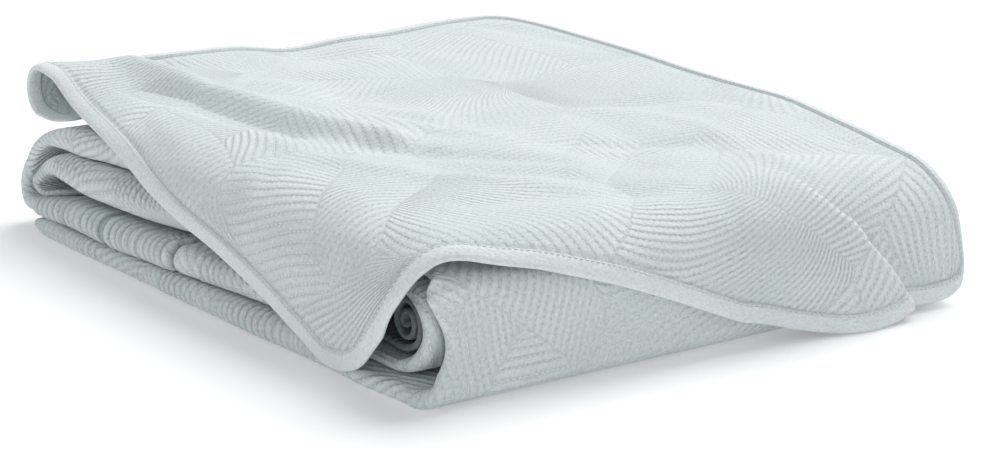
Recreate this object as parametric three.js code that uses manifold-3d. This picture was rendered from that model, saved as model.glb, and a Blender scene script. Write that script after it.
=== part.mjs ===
// A quilted bedspread, folded into a thick strip and rolled flat, with its last layer laid
// over the top. The cloth is one solid, and the narrow binding sewn along its edge another.
// Millimetres, +Z up. The shapes are worked out from the stack's near corner: x runs along
// the front side, y along the left side and z up from the floor. The last lines move the
// origin to the middle of the base.
import * as THREE from "three";
import Module from "manifold-3d";
import { mergeVertices } from "three/addons/utils/BufferGeometryUtils.js";

// Driving dimensions
const FRONT_LENGTH = 450; // folded width, along x
const PLY = 5; // the laid-over layer's thickness
const BINDING_WIDTH = 12;
const BINDING_GAP = 0.7; // between the binding and the cloth's edge
const FLOOR_CLEAR = 0.2; // the lowest the laid-over edge comes to the floor
const CLOTH_COLOUR = 0xc3d1d0;
const BINDING_COLOUR = 0xc6d2d1;

// The height of the laid-over layer's upper side at the four corners of the stack
const TOP = { near: 103, right: 99, left: 122, back: 123 };
const SIDE_LENGTH = 600; // folded length, along y

// Soft ridges (lift above 0) and troughs (lift below 0) that lie across the top.
const CREASES = [
  { x0: -6, y0: 604, x1: 26, y1: 556, width: 30, lift: 6.5 },
  { x0: 60, y0: 530, x1: 105, y1: 440, width: 42, lift: 5 },
  { x0: 128, y0: 380, x1: 160, y1: 300, width: 42, lift: 5 },
  { x0: 176, y0: 240, x1: 190, y1: 130, width: 40, lift: 5 },
  { x0: 165, y0: 520, x1: 190, y1: 340, width: 30, lift: -4 },
  { x0: 215, y0: 260, x1: 240, y1: 110, width: 30, lift: -4 },
  { x0: 85, y0: 84, x1: 235, y1: 42, width: 15, lift: -3 },
  { x0: 80, y0: 604, x1: 95, y1: 560, width: 22, lift: -6 },
  { x0: 240, y0: 612, x1: 235, y1: 520, width: 42, lift: -8 },
  { x0: 330, y0: 560, x1: 360, y1: 250, width: 40, lift: -3 },
  { x0: 270, y0: 150, x1: 400, y1: 90, width: 26, lift: -3 },
];

// Where the laid-over layer turns down: start is the line on the top where it begins to
// turn, radius that of the turn, and lean the angle in degrees at which it then hangs. The
// left side's turn grows broader from the near end to the far one.
const LEFT_TURN = [
  { y: 0, start: 34, radius: 50, lean: 88 },
  { y: 120, start: 34, radius: 50, lean: 88 },
  { y: 247, start: 30, radius: 50, lean: 84 },
  { y: 372, start: 36, radius: 58, lean: 84 },
  { y: 444, start: 45, radius: 90, lean: 84 },
  { y: 510, start: 42, radius: 86, lean: 84 },
  { y: 590, start: 14, radius: 60, lean: 84 },
  { y: 700, start: 14, radius: 60, lean: 84 },
];
const FRONT_TURN = { start: 37, radius: 46, lean: 84 };
const RIGHT_TURN = { start: 429, radius: 40, lean: 76 };
const RIGHT_FLAT = { from: 20, to: 130, reach: 60 }; // it lies flat past this, along y

// The far left corner of that layer is rolled under: radius of the roll at x = 0 and where
// it has run out, and the line along which it starts.
const ROLL = { radius: 20.5, end: 92, endRadius: 9, line: 583, endLine: 603 };

// The outline of the laid-over layer, laid out flat in the plane of the top.
const OUTLINE = [
  { x: -93, y: 102, corner: "tip" },
  { x: -91, y: 84 },
  { x: -82, y: 62 },
  { x: -66, y: 46 },
  { x: -47, y: 30 },
  { x: -26, y: 18.5 },
  { x: -4, y: 14.5 },
  { x: 12, y: 12 },
  { x: 28, y: 6 },
  { x: 50, y: -2 },
  { x: 78, y: -10 },
  { x: 101, y: -18 },
  { x: 128, y: -27 },
  { x: 163, y: -40 },
  { x: 210, y: -58 },
  { x: 251, y: -73 },
  { x: 287, y: -84 },
  { x: 322, y: -91 },
  { x: 350, y: -91.5 },
  { x: 370, y: -89 },
  { x: 384, y: -84.5, corner: "crestFoot" },
  { x: 404, y: -85.5 },
  { x: 426, y: -85 },
  { x: 446, y: -81 },
  { x: 465, y: -70, corner: "rightFoot" },
  { x: 470, y: -56 },
  { x: 461, y: -38 },
  { x: 448, y: -20 },
  { x: 439, y: 0 },
  { x: 437, y: 22 },
  { x: 443, y: 50 },
  { x: 451, y: 80 },
  { x: 459, y: 112 },
  { x: 467, y: 148 },
  { x: 475, y: 182 },
  { x: 480, y: 215 },
  { x: 478, y: 250 },
  { x: 475, y: 320 },
  { x: 479, y: 410 },
  { x: 477, y: 490 },
  { x: 473, y: 550 },
  { x: 465, y: 582 },
  { x: 448, y: 598, corner: "back" },
  { x: 425, y: 601 },
  { x: 350, y: 595 },
  { x: 300, y: 592, corner: "crestTop" },
  { x: 245, y: 600 },
  { x: 190, y: 602 },
  { x: 150, y: 599 },
  { x: 118, y: 602 },
  { x: 90, y: 624 },
  { x: 58, y: 660 },
  { x: 32, y: 688 },
  { x: 14, y: 692, corner: "leftEnd" },
  { x: 2, y: 678 },
  { x: -1, y: 645 },
  { x: -2, y: 605 },
  { x: -2, y: 570 },
  { x: -5, y: 535 },
  { x: -12, y: 487 },
  { x: -18, y: 442 },
  { x: -25, y: 402 },
  { x: -38, y: 352 },
  { x: -50, y: 295 },
  { x: -59, y: 238 },
  { x: -71, y: 181 },
  { x: -84, y: 137 },
];

// The pleat that takes in the cloth at the right corner: its crest runs from the foot of
// the front edge up to the top, and stands out most at the foot.
const CREST = [
  { x: 384, y: -85 },
  { x: 376, y: -65 },
  { x: 366, y: -53 },
  { x: 353, y: -37 },
  { x: 338, y: -21 },
  { x: 322, y: -8 },
  { x: 310, y: 12 },
  { x: 307, y: 40 },
  { x: 310, y: 84 },
  { x: 304, y: 250 },
  { x: 300, y: 592 },
];
const PLEAT = { top: 90, foot: -86, proud: 20, run: 130, fall: 60, lip: 0.6, drop: 4 };

// The rolled strip, from its free end under the left side to the middle of the roll. Each
// row is a point of its middle line, seen from the left, with its thickness and the place
// of its folded left and right ends. steps is how many slices follow before the next row.
const STRIP = [
  { y: 553, z: 5.5, thick: 8, left: -22, right: 446, steps: 1 },
  { y: 540, z: 6.3, thick: 12.6, left: -25, right: 450, steps: 1 },
  { y: 490, z: 6.7, thick: 13.4, left: -26, right: 452, steps: 2 },
  { y: 400, z: 7.3, thick: 14.6, left: -23, right: 452, steps: 2 },
  { y: 300, z: 8.8, thick: 17.6, left: -21, right: 450, steps: 2 },
  { y: 200, z: 10.2, thick: 20.4, left: -18, right: 450, steps: 1 },
  { y: 143, z: 10.7, thick: 21.4, left: -15, right: 450, steps: 1 },
  { y: 100, z: 7.7, thick: 15.4, left: -12, right: 448, steps: 1 },
  { y: 70, z: 6, thick: 12, left: -11, right: 448, steps: 1 },
  { y: 36, z: 6, thick: 12, left: -7, right: 446, steps: 1 },
  { y: 14, z: 6.2, thick: 12.4, left: -4, right: 446, steps: 1 },
  { y: 5, z: 12.5, thick: 11, left: 1, right: 444, steps: 1 },
  { y: 3.8, z: 22, thick: 10, left: 4.5, right: 443, steps: 1 },
  { y: 3.2, z: 33, thick: 9, left: 9.5, right: 442, steps: 1 },
  { y: 3, z: 44, thick: 9, left: 10.5, right: 441, steps: 1 },
  { y: 3.2, z: 54, thick: 9, left: 7.5, right: 440, steps: 1 },
  { y: 4.5, z: 65, thick: 9, left: 2.5, right: 439, steps: 1 },
  { y: 9.5, z: 75, thick: 9.5, left: 0, right: 436, steps: 1 },
  { y: 22, z: 79.5, thick: 10, left: 12, right: 434, steps: 1 },
  { y: 44, z: 83, thick: 12, left: 16, right: 434, steps: 1 },
  { y: 90, z: 85, thick: 14, left: 10, right: 438, steps: 2 },
  { y: 200, z: 86, thick: 17, left: 4, right: 448, steps: 2 },
  { y: 300, z: 85.5, thick: 19, left: -1, right: 450, steps: 1 },
  { y: 380, z: 83.7, thick: 20.6, left: -6, right: 450, steps: 1 },
  { y: 444, z: 83, thick: 21, left: -10, right: 450, steps: 1 },
  { y: 482, z: 82.8, thick: 21.6, left: -17, right: 450, steps: 1 },
  { y: 513, z: 81.2, thick: 17, left: -18, right: 448, steps: 1 },
  { y: 540, z: 75.5, thick: 11, left: -18, right: 448, steps: 1 },
  { y: 557, z: 66, thick: 11, left: -18, right: 446, steps: 1 },
  { y: 573, z: 52, thick: 11.5, left: -17, right: 446, steps: 1 },
  { y: 585, z: 38, thick: 12, left: -17, right: 446, steps: 1 },
  { y: 588, z: 28, thick: 12, left: -17, right: 446, steps: 1 },
  { y: 580, z: 20, thick: 11.5, left: -19, right: 448, steps: 1 },
  { y: 560, z: 19.8, thick: 11.6, left: -22, right: 448, steps: 1 },
  { y: 535, z: 21.4, thick: 14, left: -24, right: 450, steps: 1 },
  { y: 500, z: 24.6, thick: 20, left: -24, right: 450, steps: 1 },
  { y: 465, z: 25.6, thick: 22, left: -24, right: 450, steps: 1 },
  { y: 400, z: 26.6, thick: 22.4, left: -23, right: 450, steps: 1 },
  { y: 330, z: 28.8, thick: 21.8, left: -21, right: 450, steps: 1 },
  { y: 250, z: 31.2, thick: 21.4, left: -15, right: 448, steps: 1 },
  { y: 190, z: 31.6, thick: 18, left: -11, right: 448, steps: 1 },
  { y: 143, z: 29, thick: 11.5, left: -6, right: 446, steps: 1 },
  { y: 104, z: 21.6, thick: 9, left: -2, right: 446, steps: 1 },
  { y: 72, z: 17, thick: 8, left: 3, right: 444, steps: 1 },
  { y: 46, z: 18.3, thick: 9, left: 5, right: 444, steps: 1 },
  { y: 29, z: 28.5, thick: 13, left: 6, right: 443, steps: 1 },
  { y: 22.5, z: 41, thick: 14, left: 7, right: 442, steps: 1 },
  { y: 23.5, z: 52, thick: 14, left: 7, right: 442, steps: 1 },
  { y: 30, z: 61, thick: 14, left: 7, right: 442, steps: 1 },
  { y: 43, z: 67.5, thick: 13, left: 8, right: 442, steps: 1 },
  { y: 66, z: 69.5, thick: 12, left: 9, right: 442, steps: 1 },
  { y: 110, z: 66.5, thick: 15, left: 6, right: 444, steps: 1 },
  { y: 200, z: 64, thick: 20, left: 0, right: 448, steps: 2 },
  { y: 300, z: 60.4, thick: 27, left: -8, right: 448, steps: 1 },
  { y: 370, z: 58, thick: 28, left: -16, right: 448, steps: 1 },
  { y: 430, z: 57.4, thick: 28, left: -20, right: 448, steps: 1 },
  { y: 475, z: 57, thick: 27.6, left: -21, right: 448, steps: 1 },
  { y: 505, z: 58.6, thick: 24, left: -21, right: 446, steps: 1 },
  { y: 530, z: 56, thick: 14, left: -20, right: 446, steps: 1 },
  { y: 549, z: 46, thick: 10, left: -19, right: 446, steps: 1 },
  { y: 559, z: 37, thick: 8, left: -19, right: 444, steps: 1 },
  { y: 554, z: 31.4, thick: 5.5, left: -17, right: 444, steps: 1 },
  { y: 534, z: 32.8, thick: 5, left: -10, right: 444, steps: 1 },
  { y: 502, z: 38.2, thick: 5, left: 2, right: 444, steps: 1 },
  { y: 465, z: 40, thick: 5, left: 8, right: 444, steps: 1 },
  { y: 400, z: 40.8, thick: 5, left: 8, right: 444, steps: 1 },
  { y: 330, z: 42.9, thick: 5, left: 8, right: 444, steps: 1 },
  { y: 250, z: 45.4, thick: 5, left: 8, right: 444, steps: 1 },
  { y: 190, z: 44.6, thick: 5, left: 9, right: 444, steps: 1 },
  { y: 143, z: 39, thick: 5, left: 10, right: 444, steps: 1 },
  { y: 104, z: 30.2, thick: 5, left: 12, right: 442, steps: 1 },
  { y: 78, z: 26, thick: 5, left: 14, right: 442, steps: 1 },
];
// The strip ends in a small spiral at the near end of the roll.
const SPIRAL = {
  y: 56, z: 44, radius: 18, endRadius: 2.5, turns: 2.1, rows: 17, thick: 5, left: 14,
};
// How much the stack is raised, away from its left ends
const STACK_CROWN = { near: 1, right: 0.94, left: 1.1, back: 1.09 };
const CROWN_WIDTH = 130; // from the left ends to the full crown
const STACK_TOP = 94; // the strip's upper side in its table, near enough
const STRIP_COLUMNS = 9; // along x, between the rounded ends
const STRIP_ROUND = 3; // faces round each folded end

// The hidden fold that joins the laid-over layer to the stack
const JOIN = { x0: 150, x1: 300, y0: 250, y1: 400, into: 5, steps: 5 };

// The grid of the laid-over layer
const GRID = { before: 29, drop: 2, after: 10, rows: 40 };

// Leaf shapes in the quilting: each leaf stands up a little between its rib and its rim.
const LEAF = { length: 190, width: 104, across: 128, along: 150, crown: 1.5, turn: 0.9 };

const clamp = (v, low, high) => Math.min(high, Math.max(low, v));
const mix = (a, b, share) => a + (b - a) * share;

function ease(share) {
  const s = clamp(share, 0, 1);
  return s * s * (3 - 2 * s);
}

// A smooth line through a table's rows, read at a share from 0 to 1 of the way along it.
// The way along is measured over the columns in places, and closed joins its two ends.
class Line {
  constructor(rows, columns, places, closed = false) {
    this.rows = closed ? [...rows, rows[0]] : rows;
    this.columns = columns;
    this.closed = closed;
    this.knots = [0];
    for (let i = 1; i < this.rows.length; i++) {
      const step = places.map((c) => this.rows[i][c] - this.rows[i - 1][c]);
      this.knots.push(this.knots[i - 1] + Math.hypot(...step));
    }
    this.length = this.knots.at(-1);
  }

  slope(i, column) {
    const last = this.rows.length - 1;
    const value = (k) => this.rows[k][column];
    let [before, after] = [i - 1, i + 1];
    let [back, ahead] = [this.knots[i] - this.knots[before], this.knots[after] - this.knots[i]];
    if (this.closed && (i === 0 || i === last)) {
      [before, after] = [last - 1, 1];
      [back, ahead] = [this.length - this.knots[last - 1], this.knots[1]];
    } else if (i === 0) {
      return (value(1) - value(0)) / ahead;
    } else if (i === last) {
      return (value(last) - value(last - 1)) / back;
    }
    const [rise, fall] = [(value(after) - value(i)) / ahead, (value(i) - value(before)) / back];
    return (rise * back + fall * ahead) / (back + ahead);
  }

  // Each column's value at row i plus part of the way to the next.
  part(i, share) {
    const h = this.knots[i + 1] - this.knots[i];
    const [s, t] = [share * share, share * share * share];
    const made = {};
    for (const column of this.columns) {
      made[column] =
        (2 * t - 3 * s + 1) * this.rows[i][column] +
        (t - 2 * s + share) * h * this.slope(i, column) +
        (3 * s - 2 * t) * this.rows[i + 1][column] +
        (t - s) * h * this.slope(i + 1, column);
    }
    return made;
  }

  at(share) {
    const way = (this.closed ? share - Math.floor(share) : clamp(share, 0, 1)) * this.length;
    let i = this.knots.findIndex((knot) => knot > way) - 1;
    if (i < 0) i = this.rows.length - 2;
    return this.part(i, (way - this.knots[i]) / (this.knots[i + 1] - this.knots[i]));
  }
}

// A value given at the four corners of the stack, at a point between them.
function overCorners(corners, x, y) {
  const across = clamp(x / FRONT_LENGTH, -0.1, 1.1);
  const along = clamp(y / SIDE_LENGTH, -0.1, 1.1);
  const front = mix(corners.near, corners.right, across);
  return mix(front, mix(corners.left, corners.back, across), along);
}

function creaseLift(x, y) {
  let lift = 0;
  for (const c of CREASES) {
    const [dx, dy] = [c.x1 - c.x0, c.y1 - c.y0];
    const share = clamp(((x - c.x0) * dx + (y - c.y0) * dy) / (dx * dx + dy * dy), 0, 1);
    const away = Math.hypot(x - c.x0 - share * dx, y - c.y0 - share * dy) / c.width;
    lift += c.lift * Math.exp(-away * away);
  }
  return lift;
}

const topHeight = (x, y) => overCorners(TOP, x, y) + creaseLift(x, y);

// How far out and down cloth has gone, a way past the line where it starts to turn down.
function turnDown(way, radius, lean) {
  const angle = Math.min(way / radius, lean);
  const straight = way - angle * radius;
  return {
    out: radius * Math.sin(angle) + straight * Math.cos(lean),
    down: radius * (1 - Math.cos(angle)) + straight * Math.sin(lean),
  };
}

// The left side's turn at a y of the flat cloth, eased between the rows of its table.
function leftTurn(y) {
  const last = LEFT_TURN.length - 2;
  const next = LEFT_TURN.findIndex((row) => row.y > y);
  const i = clamp(next - 1, 0, last);
  const [here, ahead] = [LEFT_TURN[i], LEFT_TURN[i + 1]];
  const share = ease((y - here.y) / (ahead.y - here.y));
  return {
    start: mix(here.start, ahead.start, share),
    radius: mix(here.radius, ahead.radius, share),
    lean: mix(here.lean, ahead.lean, share),
  };
}

const leftStart = (y) => leftTurn(y).start;

// The upper side of the laid-over layer, without its pleat: a point of the flat cloth goes
// over the top, down the left, front or right side, or round the roll at the left corner.
function drape(flat) {
  const turn = flat.x < leftStart(flat.y) ? leftTurn(flat.y) : RIGHT_TURN;
  const { from, to, reach } = RIGHT_FLAT;
  const rightStart = RIGHT_TURN.start + reach * ease((flat.y - from) / (to - from));
  const x = clamp(flat.x, leftStart(flat.y), rightStart);
  const y = Math.max(flat.y, FRONT_TURN.start);
  const roll = mix(ROLL.radius, ROLL.endRadius, ease(flat.x / ROLL.end));
  const rollLine = mix(ROLL.line, ROLL.endLine, ease(flat.x / ROLL.end));
  const around = Math.max(0, y - rollLine);
  const angle = Math.min(around / roll, Math.PI);
  const under = around - angle * roll;
  const [ox, oy] = [flat.x - x, flat.y - y];
  const way = Math.hypot(ox, oy);
  const share = way > 0 ? (ox * ox) / (way * way) : 0;
  const radius = mix(FRONT_TURN.radius, turn.radius, share);
  const lean = THREE.MathUtils.degToRad(mix(FRONT_TURN.lean, turn.lean, share));
  const { out, down } = turnDown(way, radius, lean);
  const unit = way > 0 ? 1 / way : 0;
  const ground = around > 0 ? rollLine : y;
  return new THREE.Vector3(
    x + ox * unit * out,
    ground + roll * Math.sin(angle) - under + oy * unit * out,
    topHeight(x, ground) - down - roll * (1 - Math.cos(angle)),
  );
}

function drapeNormal(flat) {
  const step = 1;
  const right = drape({ x: flat.x + step, y: flat.y }).sub(drape({ x: flat.x - step, y: flat.y }));
  const ahead = drape({ x: flat.x, y: flat.y + step }).sub(drape({ x: flat.x, y: flat.y - step }));
  return right.cross(ahead).normalize();
}

const crest = new Line(CREST, ["x", "y"], ["x", "y"]);
const CREST_STEPS = 80;
const crestPoints = Array.from({ length: CREST_STEPS + 1 }, (_, k) => crest.at(k / CREST_STEPS));

// Where the crest of the pleat lies at a y of the flat cloth.
function crestAt(y) {
  const next = crestPoints.findIndex((point) => point.y > y);
  const i = clamp(next < 0 ? CREST_STEPS : next, 1, CREST_STEPS);
  const [here, ahead] = [crestPoints[i - 1], crestPoints[i]];
  return mix(here.x, ahead.x, clamp((y - here.y) / (ahead.y - here.y), 0, 1));
}

// How far the pleat stands out from the drape.
function pleatLift(flat) {
  const depth = ease((PLEAT.top - flat.y) / (PLEAT.top - PLEAT.foot));
  const from = flat.x - crestAt(flat.y);
  const fall = mix(1, PLEAT.lip, ease(1 + from / PLEAT.fall));
  const rise = ease(1 + from / PLEAT.run) * fall;
  const drop = PLEAT.lip * (1 - ease(from / PLEAT.drop));
  return PLEAT.proud * depth * (from < 0 ? rise : drop);
}

// How far the leaf that covers a point of the flat cloth stands up there.
function leafLift(flat) {
  const row = Math.round(flat.y / LEAF.along);
  const shift = row % 2 === 0 ? 0 : LEAF.across / 2;
  const column = Math.round((flat.x - shift) / LEAF.across);
  const angle = (row + column) % 2 === 0 ? LEAF.turn : -LEAF.turn;
  const [dx, dy] = [flat.x - shift - column * LEAF.across, flat.y - row * LEAF.along];
  const along = (dx * Math.sin(angle) + dy * Math.cos(angle)) / (LEAF.length / 2);
  const across = (dx * Math.cos(angle) - dy * Math.sin(angle)) / (LEAF.width / 2);
  const half = Math.max(0, 1 - along * along);
  const ribToRim = half > 0 ? Math.abs(across) / half : 1;
  return ribToRim < 1 ? LEAF.crown * Math.sin(Math.PI * ribToRim) * Math.sqrt(half) : 0;
}

// A point of the laid-over layer: height is above or below the drape's upper side.
function onCloth(flat, height, lifted) {
  const lift = lifted ? pleatLift(flat) : 0;
  const point = drape(flat).addScaledVector(drapeNormal(flat), lift + height);
  point.z = Math.max(point.z, FLOOR_CLEAR);
  return point;
}

const outline = new Line(OUTLINE, ["x", "y"], ["x", "y"], true);
const cornerShare = Object.fromEntries(
  OUTLINE.map((row, i) => [row.corner, outline.knots[i] / outline.length]),
);
cornerShare.tip = 0;

// A point of the flat outline, moved in from it.
function inFrom(share, distance) {
  const step = 1.5 / outline.length;
  const [here, before, after] = [share, share - step, share + step].map((s) => outline.at(s));
  const [tx, ty] = [after.x - before.x, after.y - before.y];
  const long = Math.hypot(tx, ty);
  return { x: here.x - (ty / long) * distance, y: here.y + (tx / long) * distance };
}

// A side of the cloth's own edge, between two named corners of the outline.
function side(from, to) {
  const start = cornerShare[from];
  const end = cornerShare[to];
  return (share) => inFrom(mix(start, end, share), BINDING_WIDTH + BINDING_GAP);
}

// A flat four-sided patch between four edge curves that meet at its corners.
function patch(front, back, left, right) {
  return (across, along) => {
    const made = {};
    for (const c of ["x", "y"]) {
      const sides = mix(front(across)[c], back(across)[c], along);
      const ends = mix(left(along)[c], right(along)[c], across);
      const corners = mix(
        mix(front(0)[c], front(1)[c], across),
        mix(back(0)[c], back(1)[c], across),
        along,
      );
      made[c] = sides + ends - corners;
    }
    return made;
  };
}

// The crest as an inner edge curve. It starts at the cloth's own edge, and meets the
// corners of the outline's sides at both ends.
function crestSide(share) {
  const [foot, top] = [side("crestFoot", "rightFoot")(0), side("crestTop", "back")(0)];
  const start = crestPoints.findIndex((point) => point.y > foot.y) / CREST_STEPS;
  const { x, y } = crest.at(mix(start, 1, share));
  const [atFoot, atTop] = [crest.at(start), crest.at(1)];
  const [low, high] = [(1 - share) ** 8, share ** 2];
  return {
    x: x + low * (foot.x - atFoot.x) + high * (top.x - atTop.x),
    y: y + low * (foot.y - atFoot.y) + high * (top.y - atTop.y),
  };
}

// A curve read from its far end.
const turned = (curve) => (share) => curve(1 - share);

// The shares across the part behind the crest: some for the pleat's drop, then evenly.
function afterShares(along) {
  const [edge, end] = [crestSide(along), side("rightFoot", "back")(along)];
  const drop = PLEAT.drop / Math.hypot(end.x - edge.x, end.y - edge.y);
  const shares = [];
  for (let i = 0; i < GRID.drop; i++) shares.push((drop * i) / GRID.drop);
  for (let i = 0; i <= GRID.after; i++) shares.push(mix(drop, 1, i / GRID.after));
  return shares;
}

// The flat points of the laid-over layer, row by row from the front edge to the back.
function clothRows() {
  cornerShare.tip = 1;
  const leftSide = turned(side("leftEnd", "tip"));
  const leftEdge = Array.from({ length: GRID.rows + 1 }, (_, k) => leftSide(k / GRID.rows));
  cornerShare.tip = 0;
  const leftAt = (share) => leftEdge[Math.round(share * GRID.rows)];
  const before = patch(
    side("tip", "crestFoot"), turned(side("crestTop", "leftEnd")), leftAt, crestSide,
  );
  const after = patch(
    side("crestFoot", "rightFoot"), turned(side("back", "crestTop")),
    crestSide, side("rightFoot", "back"),
  );
  const rows = [];
  for (let k = 0; k <= GRID.rows; k++) {
    const along = k / GRID.rows;
    const row = [];
    for (let i = 0; i < GRID.before; i++) row.push(before(i / GRID.before, along));
    for (const share of afterShares(along)) row.push(after(share, along));
    rows.push(row);
  }
  return rows;
}

// A closed solid between two grids of points of the same size, one above the other.
function slab(upper, lower) {
  const faces = [];
  const quad = (a, b, c, d) => faces.push(a, b, c, a, c, d);
  const [last, end] = [upper.length - 1, upper[0].length - 1];
  for (let k = 0; k < last; k++) {
    for (let i = 0; i < end; i++) {
      quad(upper[k][i], upper[k][i + 1], upper[k + 1][i + 1], upper[k + 1][i]);
      quad(lower[k][i], lower[k + 1][i], lower[k + 1][i + 1], lower[k][i + 1]);
    }
    quad(upper[k][0], upper[k + 1][0], lower[k + 1][0], lower[k][0]);
    quad(upper[k][end], lower[k][end], lower[k + 1][end], upper[k + 1][end]);
  }
  for (let i = 0; i < end; i++) {
    quad(upper[0][i], lower[0][i], lower[0][i + 1], upper[0][i + 1]);
    quad(upper[last][i], upper[last][i + 1], lower[last][i + 1], lower[last][i]);
  }
  return surface(faces);
}

// Rings of points joined into a tube, closed at its ends or round on itself.
function tube(rings, closed) {
  const faces = [];
  const size = rings[0].length;
  const spans = closed ? rings.length : rings.length - 1;
  for (let k = 0; k < spans; k++) {
    const [here, next] = [rings[k], rings[(k + 1) % rings.length]];
    for (let i = 0; i < size; i++) {
      const j = (i + 1) % size;
      faces.push(here[i], next[j], next[i], here[i], here[j], next[j]);
    }
  }
  if (!closed) {
    for (let i = 1; i < size / 2; i++) {
      const [first, last] = [rings[0], rings.at(-1)];
      const [a, b, c, d] = [i - 1, i, size - 1 - i, size - i].map((n) => n % size);
      faces.push(first[a], first[c], first[b], first[a], first[d], first[c]);
      faces.push(last[a], last[b], last[c], last[a], last[c], last[d]);
    }
  }
  return surface(faces);
}

function surface(points) {
  const flat = new Float32Array(points.flatMap((p) => [p.x, p.y, p.z]));
  const geometry = new THREE.BufferGeometry();
  return geometry.setAttribute("position", new THREE.BufferAttribute(flat, 3));
}

// How much the stack is raised at a point, from nothing along its left ends.
const crownAt = (x, y) => mix(1, overCorners(STACK_CROWN, x, y), ease(x / CROWN_WIDTH));

function spiralRows() {
  const rows = [];
  for (let k = 0; k < SPIRAL.rows; k++) {
    const share = k / (SPIRAL.rows - 1);
    const angle = -Math.PI / 2 - share * SPIRAL.turns * 2 * Math.PI;
    const radius = mix(SPIRAL.radius, SPIRAL.endRadius, share);
    rows.push({
      y: SPIRAL.y + radius * Math.cos(angle),
      z: SPIRAL.z + radius * Math.sin(angle),
      thick: mix(SPIRAL.thick, SPIRAL.thick * 0.7, share),
      left: SPIRAL.left,
      right: FRONT_LENGTH - SPIRAL.left,
      steps: 1,
    });
  }
  return rows;
}

// One slice of the strip: over its upper side, round one folded end and back beneath.
function stripRing(row, ty, tz) {
  const half = row.thick / 2;
  const ring = [];
  const add = (x, across) => {
    const y = row.y - tz * across;
    const z = row.z + ty * across;
    const crowned = z * crownAt(x, y);
    ring.push(new THREE.Vector3(x, y, crowned < 1 ? 0 : crowned));
  };
  const [low, high] = [row.left + half, row.right - half];
  for (let i = 0; i <= STRIP_COLUMNS; i++) add(mix(low, high, i / STRIP_COLUMNS), half);
  for (let i = 1; i < STRIP_ROUND; i++) {
    const angle = (Math.PI * i) / STRIP_ROUND;
    add(high + half * Math.sin(angle), half * Math.cos(angle));
  }
  for (let i = 0; i <= STRIP_COLUMNS; i++) add(mix(high, low, i / STRIP_COLUMNS), -half);
  for (let i = 1; i < STRIP_ROUND; i++) {
    const angle = Math.PI * (1 + i / STRIP_ROUND);
    add(low + half * Math.sin(angle), half * Math.cos(angle));
  }
  return ring;
}

function rolledStrip() {
  const columns = ["y", "z", "thick", "left", "right"];
  const line = new Line([...STRIP, ...spiralRows()], columns, ["y", "z"]);
  const rings = [];
  line.rows.forEach((row, i) => {
    if (i === line.rows.length - 1) return;
    for (let k = 0; k < row.steps; k++) {
      const here = line.part(i, k / row.steps);
      const next = line.part(i, (k + 0.02) / row.steps);
      const long = Math.hypot(next.y - here.y, next.z - here.z);
      rings.push(stripRing(here, (next.y - here.y) / long, (next.z - here.z) / long));
    }
  });
  return tube(rings, false);
}

function laidOverLayer() {
  const rows = clothRows();
  const upper = rows.map((row) => row.map((flat) => onCloth(flat, leafLift(flat), true)));
  const lower = rows.map((row) => row.map((flat) => onCloth(flat, -PLY, false)));
  return slab(upper, lower);
}

// The binding's section: width is measured from the cloth's edge outwards, height from the
// upper side of the pleated cloth.
const BINDING_SECTION = [
  { width: 0, height: 0.3 },
  { width: 3, height: 1 },
  { width: 9, height: 0.6 },
  { width: 12, height: -2 },
  { width: 12, height: -3.4 },
  { width: 8, height: -5.8 },
  { width: 0, height: -5.3 },
];

function binding() {
  const rings = [];
  const stops = ringStops();
  for (const share of stops) {
    rings.push(
      BINDING_SECTION.map(({ width, height }) =>
        onCloth(inFrom(share, BINDING_WIDTH - width), height, true),
      ),
    );
  }
  return tube(rings, true);
}

// Where the binding's slices lie along the outline: one at each outer point of the cloth's
// grid, so that the two edges bend alike.
function ringStops() {
  const stops = [];
  const add = (from, to, shares) => {
    const [start, end] = [cornerShare[from], cornerShare[to] || 1];
    for (const share of shares) stops.push(mix(start, end, share));
  };
  const even = (count) => Array.from({ length: count }, (_, k) => k / count);
  const back = (shares) => shares.map((share) => 1 - share).reverse();
  add("tip", "crestFoot", even(GRID.before));
  add("crestFoot", "rightFoot", afterShares(0).slice(0, -1));
  add("rightFoot", "back", even(GRID.rows));
  add("back", "crestTop", back(afterShares(1)).slice(0, -1));
  add("crestTop", "leftEnd", even(GRID.before));
  add("leftEnd", "tip", even(GRID.rows));
  return stops;
}

function joinBlock() {
  const { x0, x1, y0, y1, into, steps } = JOIN;
  const shares = Array.from({ length: steps + 1 }, (_, k) => k / steps);
  const at = (share, across, height) => {
    const [x, y] = [mix(x0, x1, across), mix(y0, y1, share)];
    return new THREE.Vector3(x, y, height(x, y));
  };
  const grid = (height) => shares.map((along) => shares.map((x) => at(along, x, height)));
  const upper = grid((x, y) => topHeight(x, y) - PLY / 2);
  const lower = grid((x, y) => STACK_TOP * crownAt(x, y) - into);
  return slab(upper, lower);
}

const wasm = await Module();
wasm.setup();

function solid(geometry) {
  const merged = mergeVertices(geometry, 1e-3);
  return new wasm.Manifold(
    new wasm.Mesh({
      numProp: 3,
      vertProperties: merged.attributes.position.array,
      triVerts: new Uint32Array(merged.index.array),
    }),
  );
}

function geometryOf(made) {
  const { numProp, vertProperties, triVerts } = made.getMesh();
  const geometry = new THREE.BufferGeometry();
  const buffer = new THREE.InterleavedBuffer(vertProperties, numProp);
  geometry.setAttribute("position", new THREE.InterleavedBufferAttribute(buffer, 3, 0));
  geometry.setIndex(new THREE.BufferAttribute(triVerts, 1));
  return geometry.toNonIndexed();
}

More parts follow.
